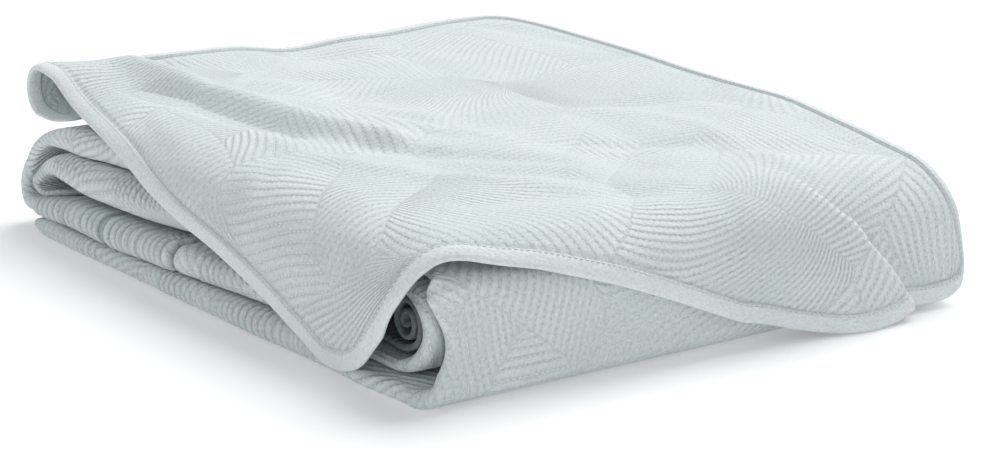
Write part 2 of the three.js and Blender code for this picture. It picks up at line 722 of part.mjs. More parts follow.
function mesh(name, geometry, colour) {
  geometry.computeVertexNormals();
  const material = new THREE.MeshStandardMaterial({
    color: colour,
    roughness: 0.92,
    metalness: 0,
  });
  const made = new THREE.Mesh(geometry, material);
  made.name = name;
  return made;
}

const cloth = solid(rolledStrip()).add(solid(laidOverLayer())).add(solid(joinBlock()));
const bedspread = new THREE.Group();
bedspread.add(mesh("quilted_cloth", geometryOf(cloth), CLOTH_COLOUR));
bedspread.add(mesh("edge_binding", binding(), BINDING_COLOUR));

const box = new THREE.Box3().setFromObject(bedspread, true);
const middle = box.getCenter(new THREE.Vector3());
bedspread.position.set(-middle.x, -middle.y, -box.min.z);

export default bedspread;
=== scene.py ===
# %% [markdown]
# # A quilted bedspread, folded into a stack
#
# This notebook dresses a bedspread that is folded and rolled into a low stack, with its last
# layer laid over the top. The real thing is thin padded cloth, sewn all over in curved lines
# that make leaves, with a narrow tape bound round its edge. Everything is built from the same
# few tables of sizes as the solid model, so that each piece lands on its solid.

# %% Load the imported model
import math

import bpy
import numpy as np
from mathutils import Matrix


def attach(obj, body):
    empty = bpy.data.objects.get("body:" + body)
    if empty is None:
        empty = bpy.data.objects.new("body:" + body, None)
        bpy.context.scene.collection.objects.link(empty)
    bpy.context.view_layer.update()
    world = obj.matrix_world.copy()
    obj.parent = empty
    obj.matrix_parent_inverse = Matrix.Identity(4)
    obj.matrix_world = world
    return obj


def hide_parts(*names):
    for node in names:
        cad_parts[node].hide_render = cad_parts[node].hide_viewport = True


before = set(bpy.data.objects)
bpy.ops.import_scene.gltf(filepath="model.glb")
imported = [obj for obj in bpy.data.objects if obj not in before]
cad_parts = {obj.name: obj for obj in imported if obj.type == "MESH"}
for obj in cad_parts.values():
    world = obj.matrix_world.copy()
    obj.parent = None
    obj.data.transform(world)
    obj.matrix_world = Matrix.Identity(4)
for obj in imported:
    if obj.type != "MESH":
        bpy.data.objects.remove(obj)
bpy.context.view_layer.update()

# %% [markdown]
# ## Sizes
#
# The tables below are in millimetres, measured from the stack's near corner: x along its
# front side, y along its left side, z up. The finished meshes are moved so that the middle of
# the base is the origin, and scaled to metres, which is what Blender works in.

# %% Sizes and tables
MIDDLE = (227.377, 291.672)
FRONT_LENGTH, SIDE_LENGTH = 450, 600
SHEET = 3.6  # thickness of the last layer
FLOOR_CLEAR = 0.2
TOP = (103, 99, 122, 123)  # height over the near, right, left and back corners
STACK_CROWN = (1, 0.94, 1.1, 1.09)
CROWN_WIDTH = 130
FRONT_TURN = (37, 46, 84)  # start, radius, lean
RIGHT_TURN = (429, 40, 76)
RIGHT_FLAT = (20, 130, 60)  # from, to, reach
ROLL = (20.5, 9, 92, 583, 603)  # radius, end radius, end, line, end line
PLEAT = {"top": 90, "foot": -86, "proud": 20, "run": 130, "fall": 60, "lip": 0.6, "drop": 4}
SPIRAL = {"y": 56, "z": 44, "radius": 18, "end": 2.5, "turns": 2.1, "rows": 17, "left": 14}

# The flat outline of the last layer: x, y
OUTLINE = [
    (-93, 102), (-91, 84), (-82, 62), (-66, 46), (-47, 30), (-26, 18.5), (-4, 14.5), (12, 12),
    (28, 6), (50, -2), (78, -10), (101, -18), (128, -27), (163, -40), (210, -58), (251, -73),
    (287, -84), (322, -91), (350, -91.5), (370, -89), (384, -84.5), (404, -85.5), (426, -85),
    (446, -81), (465, -70), (470, -56), (461, -38), (448, -20), (439, 0), (437, 22), (443, 50),
    (451, 80), (459, 112), (467, 148), (475, 182), (480, 215), (478, 250), (475, 320), (479, 410),
    (477, 490), (473, 550), (465, 582), (448, 598), (425, 601), (350, 595), (300, 592), (245, 600),
    (190, 602), (150, 599), (118, 602), (90, 624), (58, 660), (32, 688), (14, 692), (2, 678),
    (-1, 645), (-2, 605), (-2, 570), (-5, 535), (-12, 487), (-18, 442), (-25, 402), (-38, 352),
    (-50, 295), (-59, 238), (-71, 181), (-84, 137),
]
CORNERS = {
    "tip": 0, "crest foot": 20, "right foot": 24, "back": 42, "crest top": 45, "left end": 53,
}

# The crest of the pleat: x, y
CREST = [
    (384, -85), (376, -65), (366, -53), (353, -37), (338, -21), (322, -8), (310, 12), (307, 40),
    (310, 84), (304, 250), (300, 592),
]
# Soft ridges and troughs over the top: x0, y0, x1, y1, width, lift
CREASES = [
    (-6, 604, 26, 556, 30, 6.5), (60, 530, 105, 440, 42, 5), (128, 380, 160, 300, 42, 5),
    (176, 240, 190, 130, 40, 5), (165, 520, 190, 340, 30, -4), (215, 260, 240, 110, 30, -4),
    (85, 84, 235, 42, 15, -3), (80, 604, 95, 560, 22, -6), (240, 612, 235, 520, 42, -8),
    (330, 560, 360, 250, 40, -3), (270, 150, 400, 90, 26, -3),
]
# The left side's turn: y, start, radius, lean
LEFT_TURN = [
    (0, 34, 50, 88), (120, 34, 50, 88), (247, 30, 50, 84), (372, 36, 58, 84), (444, 45, 90, 84),
    (510, 42, 86, 84), (590, 14, 60, 84), (700, 14, 60, 84),
]
# The rolled strip from its loose end: y, z, thick, left, right
STRIP = [
    (553, 5.5, 8, -22, 446), (540, 6.3, 12.6, -25, 450), (490, 6.7, 13.4, -26, 452),
    (400, 7.3, 14.6, -23, 452), (300, 8.8, 17.6, -21, 450), (200, 10.2, 20.4, -18, 450),
    (143, 10.7, 21.4, -15, 450), (100, 7.7, 15.4, -12, 448), (70, 6, 12, -11, 448),
    (36, 6, 12, -7, 446), (14, 6.2, 12.4, -4, 446), (5, 12.5, 11, 1, 444), (3.8, 22, 10, 4.5, 443),
    (3.2, 33, 9, 9.5, 442), (3, 44, 9, 10.5, 441), (3.2, 54, 9, 7.5, 440), (4.5, 65, 9, 2.5, 439),
    (9.5, 75, 9.5, 0, 436), (22, 79.5, 10, 12, 434), (44, 83, 12, 16, 434), (90, 85, 14, 10, 438),
    (200, 86, 17, 4, 448), (300, 85.5, 19, -1, 450), (380, 83.7, 20.6, -6, 450),
    (444, 83, 21, -10, 450), (482, 82.8, 21.6, -17, 450), (513, 81.2, 17, -18, 448),
    (540, 75.5, 11, -18, 448), (557, 66, 11, -18, 446), (573, 52, 11.5, -17, 446),
    (585, 38, 12, -17, 446), (588, 28, 12, -17, 446), (580, 20, 11.5, -19, 448),
    (560, 19.8, 11.6, -22, 448), (535, 21.4, 14, -24, 450), (500, 24.6, 20, -24, 450),
    (465, 25.6, 22, -24, 450), (400, 26.6, 22.4, -23, 450), (330, 28.8, 21.8, -21, 450),
    (250, 31.2, 21.4, -15, 448), (190, 31.6, 18, -11, 448), (143, 29, 11.5, -6, 446),
    (104, 21.6, 9, -2, 446), (72, 17, 8, 3, 444), (46, 18.3, 9, 5, 444), (29, 28.5, 13, 6, 443),
    (22.5, 41, 14, 7, 442), (23.5, 52, 14, 7, 442), (30, 61, 14, 7, 442), (43, 67.5, 13, 8, 442),
    (66, 69.5, 12, 9, 442), (110, 66.5, 15, 6, 444), (200, 64, 20, 0, 448),
    (300, 60.4, 27, -8, 448), (370, 58, 28, -16, 448), (430, 57.4, 28, -20, 448),
    (475, 57, 27.6, -21, 448), (505, 58.6, 24, -21, 446), (530, 56, 14, -20, 446),
    (549, 46, 10, -19, 446), (559, 37, 8, -19, 444), (554, 31.4, 5.5, -17, 444),
    (534, 32.8, 5, -10, 444), (502, 38.2, 5, 2, 444), (465, 40, 5, 8, 444), (400, 40.8, 5, 8, 444),
    (330, 42.9, 5, 8, 444), (250, 45.4, 5, 8, 444), (190, 44.6, 5, 9, 444), (143, 39, 5, 10, 444),
    (104, 30.2, 5, 12, 442), (78, 26, 5, 14, 442),
]
print(len(OUTLINE), "points on the outline and", len(STRIP), "along the rolled strip")

# %% [markdown]
# ## Camera
#
# The camera stands where the photo's view was worked out to be: a long lens, fifteen degrees
# up, looking at the near corner. It comes first, so that every later piece can be judged.

# %% Camera
def placed(points):
    """Points in the stack's millimetres, in metres about the middle of the base."""
    points = np.asarray(points, float)
    return (points - np.array([*MIDDLE, 0])) / 1000


def add_camera(target, azimuth, elevation, distance, lens):
    a, e = math.radians(azimuth), math.radians(elevation)
    back = np.array([math.sin(a) * math.cos(e), -math.cos(a) * math.cos(e), math.sin(e)])
    data = bpy.data.cameras.new("camera")
    data.lens, data.sensor_width = lens, 36
    camera = bpy.data.objects.new("camera", data)
    camera.location = placed(target) + back * distance
    camera.rotation_euler = (math.pi / 2 - e, 0, a)
    bpy.context.scene.collection.objects.link(camera)
    bpy.context.scene.camera = camera
    return camera


camera = add_camera((154.5, 156, 60), -34.8, 15, 1.57, 81.18)
print("camera at", [round(v, 3) for v in camera.location])

# %% [markdown]
# ## The drape
#
# Cloth that lies on a stack keeps its own flat coordinates. A point of the flat cloth goes over
# the top, then bends down a side, or round the small roll at the far left corner. The helper
# below works that out for whole grids of flat points at once, which is what numpy is good at.

# %% Smooth lines through tables
def ease(share):
    s = np.clip(share, 0, 1)
    return s * s * (3 - 2 * s)


def mix(a, b, share):
    return a + (b - a) * share


class Line:
    """A smooth line through a table's rows, read at shares from 0 to 1 of the way along.

    Its slope at a row weighs the rises on both sides, so it neither kinks nor overshoots much.
    """

    def __init__(self, rows, closed=False):
        self.rows = np.array(rows + rows[:1] if closed else rows, float)
        self.closed = closed
        long = np.linalg.norm(np.diff(self.rows[:, :2], axis=0), axis=1)
        self.knots = np.concatenate([[0], np.cumsum(long)])
        self.length = self.knots[-1]
        gap = long[:, None]
        rise = np.diff(self.rows, axis=0) / gap
        inner = (rise[1:] * gap[:-1] + rise[:-1] * gap[1:]) / (gap[1:] + gap[:-1])
        if closed:
            ends = (rise[:1] * gap[-1] + rise[-1:] * gap[0]) / (gap[0] + gap[-1])
            self.slopes = np.concatenate([ends, inner, ends])
        else:
            self.slopes = np.concatenate([rise[:1], inner, rise[-1:]])

    def at(self, shares):
        shares = np.asarray(shares, float)
        way = (shares % 1 if self.closed else np.clip(shares, 0, 1)) * self.length
        i = np.clip(np.searchsorted(self.knots, way, side="right") - 1, 0, len(self.rows) - 2)
        h = (self.knots[i + 1] - self.knots[i])[..., None]
        s = (way - self.knots[i])[..., None] / h
        s2, s3 = s * s, s * s * s
        start, end = self.rows[i], self.rows[i + 1]
        return (
            (2 * s3 - 3 * s2 + 1) * start
            + (s3 - 2 * s2 + s) * h * self.slopes[i]
            + (3 * s2 - 2 * s3) * end
            + (s3 - s2) * h * self.slopes[i + 1]
        )


print("half of a soft step is", ease(0.5))

# %% How high the top of the stack lies
def over_corners(values, x, y):
    near, right, left, back = values
    across = np.clip(x / FRONT_LENGTH, -0.1, 1.1)
    along = np.clip(y / SIDE_LENGTH, -0.1, 1.1)
    return mix(mix(near, right, across), mix(left, back, across), along)


def line_lift(table, x, y):
    lift = np.zeros(np.broadcast(x, y).shape)
    for x0, y0, x1, y1, width, height in table:
        dx, dy = x1 - x0, y1 - y0
        share = np.clip(((x - x0) * dx + (y - y0) * dy) / (dx * dx + dy * dy), 0, 1)
        away = np.hypot(x - x0 - share * dx, y - y0 - share * dy) / width
        lift += height * np.exp(-away * away)
    return lift


def top_height(x, y):
    return over_corners(TOP, x, y) + line_lift(CREASES, x, y)


print("the middle of the top lies", round(float(top_height(225.0, 300.0)), 1), "mm up")


# %% How the cloth turns down at the left side
def left_turn(y):
    table = np.array(LEFT_TURN, float)
    y = np.clip(y, table[0, 0], table[-1, 0])
    i = np.clip(np.searchsorted(table[:, 0], y, side="right") - 1, 0, len(table) - 2)
    share = ease((y - table[i, 0]) / (table[i + 1, 0] - table[i, 0]))
    return [mix(table[i, c], table[i + 1, c], share) for c in (1, 2, 3)]


turn_at_middle = left_turn(np.array(300.0))
print("half way along, the left turn has a radius of", round(float(turn_at_middle[1])), "mm")


# %% Where a flat point of the last layer goes
def drape(fx, fy):
    """Flat points on the stack: over the top, down a side, or round the small far roll."""
    start, left_radius, left_lean = left_turn(fy)
    on_left = fx < start
    low, high, reach = RIGHT_FLAT
    x = np.clip(fx, start, RIGHT_TURN[0] + reach * ease((fy - low) / (high - low)))
    y = np.maximum(fy, FRONT_TURN[0])
    radius, end_radius, end, line, end_line = ROLL
    roll = mix(radius, end_radius, ease(fx / end))
    roll_line = mix(line, end_line, ease(fx / end))
    around = np.maximum(0, y - roll_line)
    angle = np.minimum(around / roll, math.pi)
    ox, oy = fx - x, fy - y
    way = np.maximum(np.hypot(ox, oy), 1e-9)
    share = (ox / way) ** 2
    bend = mix(FRONT_TURN[1], np.where(on_left, left_radius, RIGHT_TURN[1]), share)
    lean = np.radians(mix(FRONT_TURN[2], np.where(on_left, left_lean, RIGHT_TURN[2]), share))
    turned = np.minimum(way / bend, lean)
    straight = way - turned * bend
    out = bend * np.sin(turned) + straight * np.cos(lean)
    down = bend * (1 - np.cos(turned)) + straight * np.sin(lean)
    ground = np.where(around > 0, roll_line, y)
    return np.stack([
        x + ox / way * out,
        ground + roll * np.sin(angle) - (around - angle * roll) + oy / way * out,
        top_height(x, ground) - down - roll * (1 - np.cos(angle)),
    ], -1)


tip_point = drape(*np.array(OUTLINE[CORNERS["tip"]], float))
print("the left corner of the last layer hangs at", tip_point.round(), "mm")


# %% The side that the cloth faces, and the pleat
def unit(vectors):
    return vectors / np.maximum(np.linalg.norm(vectors, axis=-1, keepdims=True), 1e-12)


def drape_normal(fx, fy, step=1.0):
    across = drape(fx + step, fy) - drape(fx - step, fy)
    along = drape(fx, fy + step) - drape(fx, fy - step)
    return unit(np.cross(across, along))


crest = Line(CREST)
crest_points = crest.at(np.linspace(0, 1, 401))
print("the crest of the pleat is", round(crest.length), "mm long")


def pleat_lift(fx, fy):
    """How far the pleat stands out: a slow rise up to its crest, then a short drop."""
    depth = ease((PLEAT["top"] - fy) / (PLEAT["top"] - PLEAT["foot"]))
    away = fx - np.interp(fy, crest_points[:, 1], crest_points[:, 0])
    fall = mix(1, PLEAT["lip"], ease(1 + away / PLEAT["fall"]))
    rise = ease(1 + away / PLEAT["run"]) * fall
    drop = PLEAT["lip"] * (1 - ease(away / PLEAT["drop"]))
    return PLEAT["proud"] * depth * np.where(away < 0, rise, drop)


def on_cloth(flat, height):
    """Flat points (…, 2) laid on the stack, a height above the cloth's upper side."""
    fx, fy = flat[..., 0], flat[..., 1]
    lift = pleat_lift(fx, fy) + height
    point = drape(fx, fy) + drape_normal(fx, fy) * lift[..., None]
    point[..., 2] = np.maximum(point[..., 2], FLOOR_CLEAR)
    return point


# %% The flat outline and what lies a little inside it
outline = Line(OUTLINE, closed=True)
corner_share = {name: outline.knots[i] / outline.length for name, i in CORNERS.items()}


TAPE_HIDDEN = 0.36  # the share of the tape's width that is out of sight


def tape_share(shares):
    """How much of its width the tape shows: it wraps further under along the right side."""
    first, last = corner_share["right foot"] - 0.02, corner_share["back"]
    on_right = ease((shares % 1 - first) / 0.03) * ease((last + 0.03 - shares % 1) / 0.06)
    return 1 - TAPE_HIDDEN * on_right


def in_from(shares, distance):
    distance = np.asarray(distance) * tape_share(np.asarray(shares))
    step = 1.5 / outline.length
    before, after = outline.at(shares - step), outline.at(shares + step)
    tangent = unit((after - before)[..., :2])
    inward = np.stack([-tangent[..., 1], tangent[..., 0]], -1)
    return outline.at(shares)[..., :2] + inward * distance[..., None]


def edge_side(start, end, inset):
    first, last = corner_share[start], corner_share[end] or 1.0
    return lambda shares: in_from(mix(first, last, np.asarray(shares, float)), inset)


print("edge of the last layer:", round(outline.length), "mm")

# %% [markdown]
# ## The last layer
#
# A sheet like this could be draped by a cloth simulation, but its folds are known from the
# photo, so its points are set directly. Four edge curves are filled with a Coons patch, in two
# parts that meet along the pleat's crest, which keeps a row of points exactly on the crest.
# The under side is three times coarser, because nobody sees it closely.

# %% Fill four edges
EDGE_INSET = 10.5  # the cloth ends this far inside the outline, under the binding
COLUMNS_BEFORE, COLUMNS_DROP, COLUMNS_AFTER, ROWS = 180, 6, 84, 318


def coons(front, back, left, right, across, along):
    """front, back: points by across. left, right: points by along."""
    u, v = across[None, :, None], along[:, None, None]
    sides = mix(front[None], back[None], v)
    ends = mix(left[:, None], right[:, None], u)
    corners = mix(mix(front[0], front[-1], u), mix(back[0], back[-1], u), v)
    return sides + ends - corners


def crest_side(along, inset):
    foot = edge_side("crest foot", "right foot", inset)(0.0)
    top = in_from(np.array(corner_share["crest top"]), inset)
    start = np.interp(foot[1], crest_points[:, 1], np.linspace(0, 1, 401))
    points = crest.at(mix(start, 1, along))
    low, high = ((1 - along) ** 8)[:, None], (along**2)[:, None]
    return points + low * (foot - crest.at(start)) + high * (top - crest.at(1.0))


crest_from, crest_to = crest_side(np.array([0.0, 1.0]), EDGE_INSET)
print("the crest runs from", crest_from.round(), "to", crest_to.round())


# %% Flat grid of the last layer
def flat_grid(inset):
    """Flat points before the crest and after it, with close columns on the pleat's drop."""
    along = np.linspace(0, 1, ROWS + 1)
    across = np.linspace(0, 1, COLUMNS_BEFORE + 1)
    middle = crest_side(along, inset)
    before = coons(
        edge_side("tip", "crest foot", inset)(across),
        edge_side("crest top", "left end", inset)(1 - across),
        edge_side("left end", "tip", inset)(1 - along),
        middle, across, along,
    )
    right = edge_side("right foot", "back", inset)(along)
    drop = PLEAT["drop"] / np.linalg.norm(right - middle, axis=1)
    fine = np.linspace(0, 1, COLUMNS_DROP, endpoint=False)
    rest = np.linspace(0, 1, COLUMNS_AFTER + 1)
    rows = []
    for k, v in enumerate(along):
        u = np.concatenate([drop[k] * fine, mix(drop[k], 1, rest)])
        front = edge_side("crest foot", "right foot", inset)(u)
        back = edge_side("back", "crest top", inset)(1 - u)
        sides = mix(front, back, v)
        ends = mix(middle[k], right[k], u[:, None])
        low = mix(front[0], front[-1], u[:, None])
        high = mix(back[0], back[-1], u[:, None])
        rows.append(sides + ends - mix(low, high, v))
    return np.concatenate([before[:, :-1], np.array(rows)], axis=1)


flat = flat_grid(EDGE_INSET)
print("flat grid:", flat.shape[0], "rows of", flat.shape[1], "points")


# %% Mesh helpers
def make_mesh(name, points, faces, cloth_places):
    """A mesh from points in the stack's millimetres, with each point's place on the cloth."""
    data = bpy.data.meshes.new(name)
    data.from_pydata(placed(points).tolist(), [], faces)
    attribute = data.attributes.new("cloth", "FLOAT_VECTOR", "POINT")
    attribute.data.foreach_set("vector", np.asarray(cloth_places, np.float32).ravel())
    data.validate()
    data.polygons.foreach_set("use_smooth", [True] * len(data.polygons))
    piece = bpy.data.objects.new(name, data)
    bpy.context.scene.collection.objects.link(piece)
    triangles = sum(len(p.vertices) - 2 for p in data.polygons)
    print(name, "has", triangles, "triangles")
    return piece


def grid_faces(index, flip=False):
    a, b, c, d = index[:-1, :-1], index[:-1, 1:], index[1:, 1:], index[1:, :-1]
    quads = np.stack([a, b, c, d] if not flip else [a, d, c, b], -1)
    return quads.reshape(-1, 4).tolist()


def closed_sheet(upper, lower, every):
    """Points and faces of a sheet whose under side has only every few of its upper points."""
    rows, columns = upper.shape[:2]
    top = np.arange(rows * columns).reshape(rows, columns)
    under = lower[::every, ::every]
    base = top.size + np.arange(under.shape[0] * under.shape[1]).reshape(under.shape[:2])
    faces = grid_faces(top) + grid_faces(base, flip=True)

    def rim(fine, coarse):
        for i in range(len(coarse) - 1):
            run = fine[i * every : (i + 1) * every + 1]
            faces.append([coarse[i], coarse[i + 1], *run[::-1].tolist()])

    rim(top[0], base[0].tolist())
    rim(top[:, -1], base[:, -1].tolist())
    rim(top[-1][::-1], base[-1][::-1].tolist())
    rim(top[::-1, 0], base[::-1, 0].tolist())
    points = np.concatenate([upper.reshape(-1, 3), under.reshape(-1, 3)])
    return points, faces


# %% Narrow folds over the last layer
# Each row: flat places that the fold passes, width, lift
FOLDS = [
    ([(56, 575), (70, 500), (77, 438), (85, 389), (93, 345), (102, 303), (111, 281), (122, 250),
      (138, 215)], 14, 9.0),
    ([(30, 505), (44, 470), (56, 430), (60, 392), (64, 350), (74, 310), (86, 275)], 12, -6.0),
    ([(92, 268), (113, 228), (136, 190), (168, 147), (204, 114)], 10, -2.6),
    ([(48, 330), (50, 288), (54, 235), (72, 190), (98, 155), (130, 116), (172, 74)], 13, 3.0),
    ([(139, 330), (165, 250), (200, 190), (262, 150), (330, 128)], 9, 1.8),
    ([(150, 330), (180, 255), (215, 200), (270, 164), (332, 142)], 9, -1.8),
    ([(330, 260), (352, 180), (345, 110), (333, 60), (330, 10)], 12, 2.4),
    ([(120, 470), (150, 420), (190, 400), (250, 410)], 12, 2.2),
    ([(12, 420), (0, 380), (-10, 330)], 8, -2.0), ([(30, 250), (10, 220), (-20, 200)], 8, -1.4),
]


def thinness(flat):
    """1, and less where the cloth is pressed thin at the small roll's open end."""
    away = np.hypot(flat[..., 0] - 10, flat[..., 1] - 680) / 55
    return 1 - 0.5 * np.exp(-away * away)


def fold_lift(flat):
    lift = np.zeros(flat.shape[:2])
    for places, width, height in FOLDS:
        away = np.full(lift.shape, 1e9)
        for (x0, y0), (x1, y1) in zip(places, places[1:]):
            dx, dy = x1 - x0, y1 - y0
            x, y = flat[..., 0] - x0, flat[..., 1] - y0
            share = np.clip((x * dx + y * dy) / (dx * dx + dy * dy), 0, 1)
            away = np.minimum(away, np.hypot(x - share * dx, y - share * dy))
        ends = [np.hypot(flat[..., 0] - x, flat[..., 1] - y) for x, y in (places[0], places[-1])]
        fade = ease(np.minimum(*ends) / (3 * width)) * 0.7 + 0.3
        lift += height * fade * np.exp(-((away / width) ** 2))
    return lift


lifts = fold_lift(flat)
print("folds lift the cloth from", lifts.min().round(1), "to", lifts.max().round(1), "mm")


# %% Build the last layer
DIP_DEPTH, DIP_INSET, DIP_WIDTH = 1.3, 14.2, 2.4  # the cloth is drawn in beside the binding
FOLDS_FROM_EDGE, SWELL_FROM, SWELL_OVER = 40, 14, 22  # ways in from the edge


def way_to_edge(flat):
    """The way to the outline, stretched where the tape shows less of its width."""
    shares = np.linspace(0, 1, 700, endpoint=False)
    rim, shown = outline.at(shares)[:, :2], tape_share(shares)
    ways = []
    for row in flat:
        squares = ((row[:, None] - rim[None]) ** 2).sum(-1)
        ways.append(np.sqrt(squares.min(1)) / shown[squares.argmin(1)])
    return np.array(ways)


to_edge = way_to_edge(flat)
edge_dip = -DIP_DEPTH * np.exp(-(((to_edge - DIP_INSET) / DIP_WIDTH) ** 2))
upper = on_cloth(flat, edge_dip + lifts * ease(to_edge / FOLDS_FROM_EDGE))
lower = on_cloth(flat, -SHEET * thinness(flat))
points, faces = closed_sheet(upper, lower, 3)
flat_m = np.concatenate([flat.reshape(-1, 2), flat[::3, ::3].reshape(-1, 2)]) / 1000
cloth_places = np.concatenate([flat_m, np.zeros((len(flat_m), 1))], axis=1)
laid_over = make_mesh("laid_over_cloth", points, faces, cloth_places)
swell = ease((to_edge - SWELL_FROM) / SWELL_OVER)
swell = np.concatenate([swell.ravel(), 0 * swell[::3, ::3].ravel()])
attribute = laid_over.data.attributes.new("swell", "FLOAT", "POINT")
attribute.data.foreach_set("value", swell.astype(np.float32))

# %% [markdown]
# ## The rolled strip
#
# Below the last layer the cloth is folded lengthwise and rolled: one strip with a soft fold at
# each end. A curve with a bevel would give every slice the same shape, but here each slice has
# its own thickness and ends. So each is a flat ring, and the rings follow the strip's middle
# line. Where the quilting is bent tightly, its channels stand out as puffy ribs, so rings lie
# closer there.

# %% Where the strip is gathered into ribs
# first row, last row, height, pitch, how far in from the folded end, side (1 over, -1 under)
GATHERS = [
    (33.2, 38.1, 4.8, 10.2, 46, 0), (38.5, 40.8, 1.3, 9.0, 40, 0), (53.0, 57.6, 1.8, 6.8, 60, 1),
    (22.6, 26.4, 0.7, 8.0, 50, 1), (3.6, 6.6, 1.4, 8.4, 30, 0), (1.0, 3.4, 0.9, 9.0, 30, 0),
    (58.0, 61.0, 1.2, 6.0, 60, 0),
]
# row, width, height of single creases across the folded end
TUCKS = [(38.15, 3.4, -6.0), (36.6, 2.6, -2.4), (35.2, 2.4, -2.0), (17.0, 2.5, -1.2)]
STRIP_STEP, BEND_STEP, GATHER_STEP = 8.0, 3.5, 1.1
VALLEY_WIDTH = 1.5
CROWDING = 1.8  # past 1, columns lie closer at the left end
STRIP_START = 1260  # the strip's own stretch of the quilting, beyond the last layer's
# painted shade deep inside the roll: the row it starts at, the rows it grows over, its strongest
# share
SHADED_ROW, SHADED_OVER, DEEPEST_SHADE = 60, 60, 0.85  # deep inside the roll
STRIP_COLUMNS, STRIP_LEFT_ROUND, STRIP_RIGHT_ROUND = 22, 14, 6


def spiral_rows():
    rows = []
    for k in range(SPIRAL["rows"]):
        share = k / (SPIRAL["rows"] - 1)
        angle = -math.pi / 2 - share * SPIRAL["turns"] * 2 * math.pi
        radius = mix(SPIRAL["radius"], SPIRAL["end"], share)
        rows.append((
            SPIRAL["y"] + radius * math.cos(angle), SPIRAL["z"] + radius * math.sin(angle),
            mix(5, 3.5, share), SPIRAL["left"], FRONT_LENGTH - SPIRAL["left"],
        ))
    return rows


strip_line = Line(STRIP + spiral_rows())


def row_way(row):
    """How far along the strip a row of its table lies, in millimetres."""
    return float(np.interp(row, np.arange(len(strip_line.knots)), strip_line.knots))


def strip_ways():
    ways, way = [], 0.0
    fine = [(row_way(g[0]), row_way(g[1])) for g in GATHERS if g[2] > 0.6]
    while way < strip_line.length:
        ways.append(way)
        close = any(low - 2 < way < high + 2 for low, high in fine)
        bent = row_way(9) < way < row_way(19) or way > row_way(42)
        way += GATHER_STEP if close else BEND_STEP if bent else STRIP_STEP
    return np.array(ways + [strip_line.length])


ways = strip_ways()
print("strip:", round(strip_line.length), "mm long, in", len(ways), "slices")


# %% Ribs and tucks near a folded end
def uneven(way):
    """The way, a little ahead or behind, so that no two ribs are as wide."""
    return way + 1.6 * np.sin(way / 13.0) + 1.1 * np.sin(way / 7.3 + 1.0)


def gather_lift(way, from_end, level):
    """How far the cloth stands out: puffy ribs near a folded end, and single tucks; also the
    painted shade that darkens their valleys.
    """
    lift = np.zeros(np.broadcast(way, from_end).shape)
    painted_shade = np.zeros(lift.shape)
    for first, last, height, pitch, reach, side in GATHERS:
        low, high = row_way(first), row_way(last)
        window = ease((way - low) / 8) * ease((high - way) / 8) * ease(1 - from_end / reach)
        if side:
            window = window * ease(0.5 + side * level)
        off = np.abs((uneven(way) / pitch) % 1 - 0.5) * 2  # 0 on a rib, 1 in a valley
        valley = np.exp(-(((1 - off) * pitch / 2 / VALLEY_WIDTH) ** 2))
        strength = 0.7 + 0.3 * np.sin(way / 19.0 + pitch)
        lift += height * window * strength * (0.35 * (1 - off * off) - 0.65 * valley)
        # painted shade, darkening the colour in each rib's valley
        painted_shade += np.minimum(height / 3, 1) * window * strength * valley
    for row, width, height in TUCKS:
        away = (way - row_way(row)) / width
        depth = np.exp(-away * away) * ease(1 - from_end / 34)
        lift += height * depth
        # painted shade, darkening the colour in each tuck
        painted_shade += min(-height / 4, 1) * depth
    return lift, np.clip(painted_shade, 0, 1)


rib_lift, _ = gather_lift(ways, 0.0, 1.0)
print("ribs and tucks lie from", rib_lift.min().round(1), "to", rib_lift.max().round(1), "mm")


# %% Slices of the strip
def strip_rings(ways):
    """Each slice as a flat ring, its places on the cloth, and the painted shade it takes in rib
    valleys and deep inside the roll.
    """
    shares = ways / strip_line.length
    rows = strip_line.at(shares)
    ahead = strip_line.at(shares + 0.2 / strip_line.length)
    tangent = unit((ahead - strip_line.at(shares - 0.2 / strip_line.length))[:, :2])
    y, z, thick, left, right = rows.T
    half = thick[:, None] / 2
    low, high = left[:, None] + half, right[:, None] - half
    spread = np.linspace(0, 1, STRIP_COLUMNS + 1) ** CROWDING
    turn_right = np.linspace(0, np.pi, STRIP_RIGHT_ROUND + 1)[1:-1]
    turn_left = np.linspace(np.pi, 2 * np.pi, STRIP_LEFT_ROUND + 1)[1:-1]
    flat_part = np.zeros(len(spread))
    out_x = np.concatenate([flat_part, np.sin(turn_right), flat_part, np.sin(turn_left)])
    level = np.concatenate([
        flat_part + 1, np.cos(turn_right), flat_part - 1, np.cos(turn_left),
    ])
    x = np.concatenate([
        mix(low, high, spread), high + half * np.sin(turn_right),
        mix(low, high, spread[::-1]), low + half * np.sin(turn_left),
    ], axis=1)
    from_end = np.maximum(x - low, 0)
    way = ways[:, None] + 0 * x
    lift, painted_shade = gather_lift(way, from_end, level[None])
    # painted shade that grows deeper inside the roll
    inside = ease((ways[:, None] - row_way(SHADED_ROW)) / SHADED_OVER)
    painted_shade = np.maximum(painted_shade, DEEPEST_SHADE * inside)
    across = half * level + lift * level
    x = x + lift * out_x
    ry = y[:, None] - tangent[:, 1:2] * across
    rz = z[:, None] + tangent[:, 0:1] * across
    crown = mix(1, over_corners(STACK_CROWN, x, ry), ease(x / CROWN_WIDTH))
    height = np.maximum(rz * crown, 0)
    over, middle = mix(low, high, spread), (low + high) / 2
    under = over[:, ::-1]
    from_left, from_right = 2 * low - half * math.pi - under, 2 * high + half * math.pi - under
    across_cloth = np.concatenate([
        over, high + half * turn_right, np.where(under < middle, from_left, from_right),
        low - half * (2 * math.pi - turn_left),
    ], axis=1)
    places = np.stack([across_cloth, way + STRIP_START, 0 * x], -1)
    return np.stack([x, ry, height], -1), places, painted_shade


